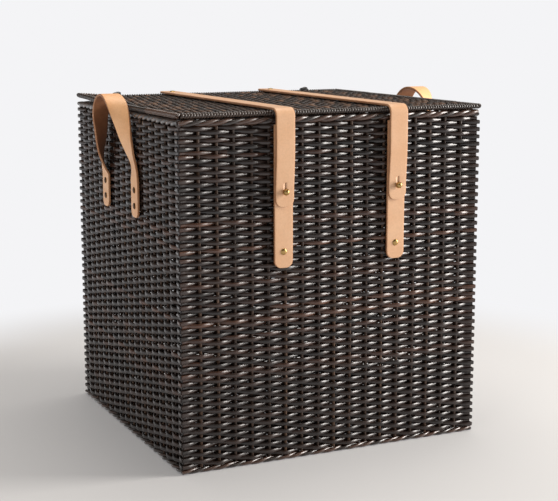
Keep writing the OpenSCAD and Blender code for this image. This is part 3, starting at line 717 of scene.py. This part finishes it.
AHEAD_X = np.array((1.0, 0.0, 0.0))
STRAPS = {side: (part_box("strap_tail_" + side)[0][0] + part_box("strap_tail_" + side)[1][0]) / 2
          for side in ("left", "right")}
STUDS = {side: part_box("ball_stud_" + side) for side in ("left", "right")}
STUD_Z = (STUDS["left"][0][2] + STUDS["left"][1][2]) / 2
BALL_D = STUDS["left"][1][2] - STUDS["left"][0][2]
TAIL = [np.array(c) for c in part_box("strap_tail_left")]
STRAP_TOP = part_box("lid_strap_left")[1][2]
STRAP_Y = -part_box("lid_strap_left")[0][1] - LEATHER_T / 2
BEND_Y = STRAP_Y - BEND_R
BEND_Z = STRAP_TOP - LEATHER_T / 2 - BEND_R
TIP_Y = WEAVE_Y + 1.5 * LEATHER_T + 0.4 * MM    # the tip lies on the lower strap, with a small gap
BUTTON_HOLE_R = 2.6 * MM
SLIT_W, SLIT_LONG = 1.1 * MM, 12 * MM


def forward_face(ahead):
    """The grain side of leather that runs up and down or over the lid: a quarter turn from its run."""
    return np.array((0.0, ahead[2], -ahead[1]))


for side, x in STRAPS.items():
    # From the back rod, over the lid and its front edge, and down to the tip
    line = []
    for t in np.linspace(math.radians(60), math.pi / 2, 8):
        reach = ROD_R + LEATHER_T / 2
        line.append((x, ROD_Y + reach * math.cos(t), LID_Z + reach * math.sin(t)))
    for t in np.linspace(math.pi / 2, math.pi, 14):
        line.append((x, -BEND_Y + BEND_R * math.cos(t), BEND_Z + BEND_R * math.sin(t)))
    for t in np.linspace(0.03, 1, 30):
        # The leather springs out a little under the bend, and is drawn in by the stud
        spring = 1.2 * MM * math.sin(math.pi * min(1.0, t / 0.8)) ** 2
        draw = 0.5 * MM * math.exp(-((t - 0.82) / 0.07) ** 2)
        line.append((x, -STRAP_Y + t * (STRAP_Y - TIP_Y) - spring + draw,
                     BEND_Z + t * (TAIL[0][2] - BEND_Z)))
    strap = sweep_leather("closing_strap_" + side, spaced(line, AHEAD_X, forward_face))
    stud = STUDS[side]
    stud_x = (stud[0][0] + stud[1][0]) / 2
    hole = lathe("hole", [(0, -0.01), (BUTTON_HOLE_R, -0.01), (BUTTON_HOLE_R, 0.01), (0, 0.01)], [])
    hole.data.transform(Matrix.Translation((stud_x, -TIP_Y, STUD_Z)) @ Matrix.Rotation(math.pi / 2, 4, "X"))
    slit = bar("slit", (stud_x, -TIP_Y, STUD_Z + SLIT_LONG / 2), (SLIT_W, 0.02, SLIT_LONG))
    cut_away(strap, [hole, slit])
    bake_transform(strap)
    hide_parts("lid_strap_" + side, "strap_tail_" + side)

    low = [np.array(c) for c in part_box("lower_strap_" + side)]
    mid_y = (low[0][1] + low[1][1]) / 2
    line = [(x, mid_y - 0.15 * MM, z) for z in np.linspace(low[1][2], low[0][2], 60)]
    lower = sweep_leather("lower_strap_of_leather_" + side,
                          spaced(line, AHEAD_X, forward_face, ends=(False, True)), (False, True))
    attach(lower, "basket")
    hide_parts("lower_strap_" + side)

# Handles: flat on the wall at their ends, turned on edge through the arch
ARCH_R = 44 * MM
STAND_OFF = 1.9 * MM     # how far the loop stands off the wall, over the lid's edge
FAR_LEAN = math.radians(9)
NEAR_LEAN = math.radians(-30)
for side, sign in (("left", -1), ("right", 1)):
    ends = [np.array(c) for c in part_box("handle_ends_" + side)]
    loop = [np.array(c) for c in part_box("handle_loop_" + side)]
    mid_y = (ends[0][1] + ends[1][1]) / 2
    half_span = (ends[1][1] - ends[0][1] - STRAP_W) / 2
    axis_z = ends[1][2] - LEATHER_T / 2
    top_z = loop[1][2]
    arch_z = top_z - LEATHER_T / 2 - ARCH_R
    leg_len = math.hypot(arch_z - axis_z, half_span - ARCH_R)
    whole = leg_len + ARCH_R * math.pi / 2
    halves = []
    for end in (1, -1):
        low_end = [0.0, 0.04 * MM, 0.16 * MM, 0.4 * MM]
        low_end += [END_R * (1 - math.cos(t)) for t in np.linspace(0.3, math.pi / 2, 9)]
        low_end += list(np.arange(END_R + 3 * MM, axis_z - ends[0][2], 3 * MM))
        run = [(end * half_span, ends[0][2] + up, 0.0) for up in low_end]
        for t in np.linspace(0, 1, 26)[:-1]:
            ease = t * t * (3 - 2 * t)
            run.append((end * (half_span + (ARCH_R - half_span) * ease), axis_z + t * (arch_z - axis_z),
                        t * leg_len / whole))
        for a in np.linspace(0, math.pi / 2, 22)[:22 if end == 1 else 21]:
            run.append((end * ARCH_R * math.cos(a), arch_z + ARCH_R * math.sin(a),
                        (leg_len + ARCH_R * a) / whole))
        half = []
        for y, z, part in run:
            # The leather turns on edge little by little, from the rivets to the crown
            lean = FAR_LEAN * math.sin(math.pi * part)
            if end < 0:
                begun = min(1.0, part / 0.26)
                lean = NEAR_LEAN * math.sin(math.pi * math.sqrt(part)) * begun * (2 - begun)
            turn = math.pi / 2 * part * (1.25 - 0.25 * part) + lean
            away = (STRAP_W / 2 * math.sin(turn) + LEATHER_T / 2 * abs(math.cos(turn)) + 0.1 * MM
                    + STAND_OFF * min(1.0, 4 * part))
            half.append((np.array((WEAVE_X + away, y, z)),
                         np.array((math.sin(turn), -end * math.cos(turn), 0.0))))
        halves.append(half)
    line = halves[0] + halves[1][::-1]
    ahead = np.gradient(np.array([c for c, _ in line]), axis=0)
    path = []
    for (centre, across), way in zip(line, ahead):
        way = way / np.linalg.norm(way)
        across = across - way * across.dot(way)
        across /= np.linalg.norm(across)
        flip = np.array((sign, 1.0, 1.0))
        face = np.cross(way, across)
        path.append((centre * flip + np.array((0, mid_y, 0)), across * flip, face * flip))
    # The handle's grain side is leather painted lighter: painted light
    handle = sweep_leather("handle_of_leather_" + side, path, grain=HANDLE_LEATHER_PAINTED_LIGHT)
    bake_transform(handle)
    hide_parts("handle_ends_" + side, "handle_loop_" + side)


# ---------------------------------------------------------------- brass, set by Geometry Nodes
def fastener_tree():
    """Sets one turned shape at each of its points."""
    tree = bpy.data.node_groups.new("fasteners", "GeometryNodeTree")
    tree.is_modifier = True
    for name, way, kind in (("Places", "INPUT", "Geometry"), ("Shape", "INPUT", "Object"),
                            ("Turn", "INPUT", "Vector"), ("Material", "INPUT", "Material"),
                            ("Mesh", "OUTPUT", "Geometry")):
        tree.interface.new_socket(name, in_out=way, socket_type="NodeSocket" + kind)
    given = add(tree, "NodeGroupInput").outputs
    shape = add(tree, "GeometryNodeObjectInfo", {"Object": given["Shape"]}).outputs["Geometry"]
    turn = add(tree, "FunctionNodeEulerToRotation", {0: given["Turn"]})
    set_out = add(tree, "GeometryNodeInstanceOnPoints",
                  {"Points": given["Places"], "Instance": shape, "Rotation": turn})
    mesh = add(tree, "GeometryNodeRealizeInstances", {"Geometry": set_out})
    mesh = add(tree, "GeometryNodeSetMaterial", {"Geometry": mesh, "Material": given["Material"]})
    add(tree, "NodeGroupOutput", {0: mesh})
    return tree


FASTENERS = fastener_tree()
# Radius and height in millimetres: a domed head on its shank, and a washer with eased edges
RIVET_LINE = ((0, 1.8), (1.6, 1.72), (3.0, 1.4), (3.9, 0.9), (4.35, 0.4), (4.5, 0.1), (4.5, -0.2),
              (1.8, -0.2), (1.8, -14.2), (0, -14.2))
WASHER_LINE = ((2.0, 0), (4.5, 0), (4.5, 0.8), (4.2, 1.0), (2.2, 1.0), (2.0, 0.8), (2.0, 0))
RIVET = lathe("rivet_shape", [(r * MM, h * MM) for r, h in RIVET_LINE], [BRASS])
WASHER = lathe("washer_shape", [(r * MM, h * MM) for r, h in WASHER_LINE], [BRASS])


def set_out(name, shape, places, turn, body, node, material=BRASS):
    """Fasteners of one shape at these places, as one piece."""
    piece = grown(name, FASTENERS, {"Shape": shape, "Turn": turn, "Material": material}, places=places)
    piece.data.polygons.foreach_set("use_smooth", [True] * len(piece.data.polygons))
    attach(piece, body)
    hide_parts(node)
    return piece


def middles(node):
    """The middle of each separate solid of a CAD node."""
    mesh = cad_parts[node].data
    group = list(range(len(mesh.vertices)))

    def root(i):
        while group[i] != i:
            group[i] = group[group[i]]
            i = group[i]
        return i
    spots = {}
    for vertex in mesh.vertices:
        spots.setdefault(tuple(round(c, 6) for c in vertex.co), vertex.index)
    for vertex in mesh.vertices:
        group[root(vertex.index)] = root(spots[tuple(round(c, 6) for c in vertex.co)])
    for edge in mesh.edges:
        group[root(edge.vertices[0])] = root(edge.vertices[1])
    solids = {}
    for vertex in mesh.vertices:
        solids.setdefault(root(vertex.index), []).append(vertex.co)
    found = []
    for corners in solids.values():
        corners = np.array(corners)
        found.append((corners.min(0) + corners.max(0)) / 2)
    return found


QUARTER = math.pi / 2
front_face = -(WEAVE_Y + LEATHER_T)
set_out("strap_rivet_heads", RIVET, [(c[0], front_face, c[2]) for c in middles("strap_rivets")],
        (QUARTER, 0, 0), "basket", "strap_rivets")
set_out("strap_rivet_washers", WASHER,
        [(c[0], WALL_THICK - WEAVE_Y, c[2]) for c in middles("strap_washers")],
        (-QUARTER, 0, 0), "basket", "strap_washers")
# The handle rivets take the brass painted dark: painted shade
for side, sign in (("left", -1), ("right", 1)):
    set_out("handle_rivet_heads_" + side, RIVET,
            [(sign * (WEAVE_X + LEATHER_T), c[1], c[2]) for c in middles("handle_rivets_" + side)],
            (0, sign * QUARTER, 0), "basket", "handle_rivets_" + side, BRASS_PAINTED_SHADE)
lid_under = LID_PANEL[0][2]
set_out("lid_rivet_heads", RIVET, [(c[0], c[1], STRAP_TOP) for c in middles("lid_strap_rivets")],
        (0, 0, 0), "lid", "lid_strap_rivets")
set_out("lid_rivet_washers", WASHER,
        [(c[0], c[1], lid_under - 1.0 * MM) for c in middles("lid_strap_washers")],
        (0, 0, 0), "lid", "lid_strap_washers")

# Ball studs: a ball on its neck
NECK_R = 2.0 * MM
ball_out = [(BALL_D / 2 * math.sin(t), BALL_D / 2 * math.cos(t)) for t in np.linspace(0, math.pi - 0.46, 20)]
reach = STUDS["left"][1][1] - STUDS["left"][0][1]
STUD = lathe("stud_shape", [*ball_out, (NECK_R, BALL_D / 2 - reach), (0, BALL_D / 2 - reach)], [BRASS],
             sides=48)
for side, box in STUDS.items():
    set_out("stud_" + side, STUD, [((box[0][0] + box[1][0]) / 2, box[0][1] + BALL_D / 2, STUD_Z)],
            (QUARTER, 0, 0), "basket", "ball_stud_" + side)
for shape in (RIVET, WASHER, STUD):
    bpy.data.objects.remove(shape)

# ---------------------------------------------------------------- hinge loops and the inner frame
def tube(line, radius):
    """A round strand along a line of points."""
    sides = 8
    line = np.array(line)
    ahead = np.gradient(line, axis=0)
    ahead /= np.linalg.norm(ahead, axis=1)[:, None]
    points, faces = [], []
    for centre, way in zip(line, ahead):
        first = np.cross(way, AHEAD_X if abs(way[0]) < 0.8 else np.array((0.0, 0.0, 1.0)))
        first /= np.linalg.norm(first)
        second = np.cross(way, first)
        for i in range(sides):
            a = 2 * math.pi * i / sides
            points.append(centre + radius * (math.cos(a) * first + math.sin(a) * second))
    for r in range(len(line) - 1):
        for i in range(sides):
            j = (i + 1) % sides
            faces.append((r * sides + i, r * sides + j, (r + 1) * sides + j, (r + 1) * sides + i))
    faces += [tuple(range(sides)), tuple(len(points) - 1 - i for i in range(sides))]
    return points, faces


def joined(name, strands, material):
    """Several strands as one piece."""
    points, faces = [], []
    for strand_points, strand_faces in strands:
        shift = len(points)
        points += list(strand_points)
        faces += [tuple(i + shift for i in face) for face in strand_faces]
    return face_outwards(mesh_piece(name, points, faces, [material]))


for side, box in zip(("left", "right"), HINGES):
    mid, wide = (box[0][0] + box[1][0]) / 2, box[1][0] - box[0][0]
    turns, strand_r, around = 4, HINGE_STRAND_R, HINGE_R
    coil = []
    for t in np.linspace(0, 2 * math.pi * turns, 28 * turns):
        x = mid - wide / 2 + strand_r + (wide - 2 * strand_r) * t / (2 * math.pi * turns)
        coil.append((x, ROD_Y + around * math.cos(t), LID_Z + around * math.sin(t)))
    tails = [[(x, ROD_Y + around, LID_Z - z) for z in np.linspace(0, 26 * MM, 12)]
             for x in (coil[0][0], coil[-1][0])]
    knot = [(mid + (wide / 2 - 1 * MM) * s, ROD_Y - 1.5 * MM + 3.0 * MM * s,
             LID_Z + around + 1.4 * MM - 1.2 * MM * s * s) for s in np.linspace(-1, 1, 14)]
    loop = joined("cane_hinge_" + side,
                  [tube(line, r) for line, r in
                   ((coil, strand_r), (tails[0], strand_r), (tails[1], strand_r), (knot, 1.2 * MM))],
                  HINGE_CANE)
    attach(loop, "basket")
    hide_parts("hinge_loop_" + side)

for node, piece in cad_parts.items():
    if node.startswith(("base_rail", "top_rail", "corner_post")):
        piece.data.materials[0] = POLE_RATTAN
    if node == "handle_washers":
        piece.data.materials[0] = BRASS


# ---------------------------------------------------------------- studio
def area_light(name, place, aim, size, power, colour):
    light = bpy.data.lights.new(name, "AREA")
    light.shape = "RECTANGLE"
    light.size, light.size_y = size
    light.energy = power
    light.color = colour
    lamp = link_in(bpy.data.objects.new(name, light))
    lamp.location = place
    lamp.rotation_euler = (Vector(aim) - Vector(place)).to_track_quat("-Z", "Y").to_euler()
    return lamp


WARM = (1.0, 0.96, 0.915)
area_light("key softbox", (2.2, -0.9, 0.85), (0.0, -0.1, 0.25), (1.0, 1.6), 97, WARM)
area_light("top softbox", (0.2, 0.3, 2.4), (0.0, 0.0, 0.3), (1.6, 1.6), 33, WARM)
area_light("fill softbox", (-1.7, -1.1, 2.0), (-0.2, 0.0, 0.4), (1.0, 1.0), 6.5, (1.0, 0.91, 0.84))

floor_material, floor_tree, floor_surface = shader("studio floor", Roughness=0.6)
spot = add(floor_tree, "ShaderNodeTexCoord").outputs["Object"]
out_from = add(floor_tree, "ShaderNodeVectorMath", {0: spot}, operation="LENGTH")
far = add(floor_tree, "ShaderNodeMapRange", {0: out_from.outputs["Value"], 1: 0.54, 2: 0.9, 3: 0.18},
          interpolation_type="SMOOTHSTEP")
floor_surface.inputs["Base Color"].default_value = linear("#d2d1d0")
glow = add(floor_tree, "ShaderNodeEmission", {"Color": linear("#f4f4f6"), "Strength": 1.0})
both = add(floor_tree, "ShaderNodeMixShader", {0: far.outputs[0], 1: floor_surface, 2: glow})
floor_tree.links.new(both.outputs[0], floor_tree.nodes["Material Output"].inputs["Surface"])
floor = lathe("floor", [(0.001, 0), (0.5, 0), (1.5, 0), (4.0, 0), (6.0, 0), (7.5, 0.3), (9.0, 1.4)],
              [floor_material], sides=96)
floor.location.z = LOW_BORDER[0][2]
floor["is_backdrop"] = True

world = bpy.data.worlds.new("studio air")
world.use_nodes = True
world.node_tree.nodes["Background"].inputs["Color"].default_value = linear("#f6ede4")
world.node_tree.nodes["Background"].inputs["Strength"].default_value = 0.2
bpy.context.scene.world = world
bpy.context.scene.view_settings.view_transform = "Standard"

camera = bpy.data.cameras.new("camera")
camera.lens = 84.53
camera.sensor_width = 36
camera.clip_end = 50
eye = link_in(bpy.data.objects.new("camera", camera))
eye.location = (-0.8151, -1.7550, 0.5936)
eye.rotation_euler = (math.radians(90 - 10.089), math.radians(0.038), math.radians(-25.349))
bpy.context.scene.camera = eye

# ---------------------------------------------------------------- the box round the shown pieces
low, high = np.full(3, np.inf), np.full(3, -np.inf)
bpy.context.view_layer.update()
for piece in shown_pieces():
    if piece.type == "MESH" and len(piece.data.vertices):
        places = np.zeros(len(piece.data.vertices) * 3)
        piece.data.vertices.foreach_get("co", places)
        world_of = np.array(piece.matrix_world)
        places = places.reshape(-1, 3) @ world_of[:3, :3].T + world_of[:3, 3]
        low, high = np.minimum(low, places.min(0)), np.maximum(high, places.max(0))
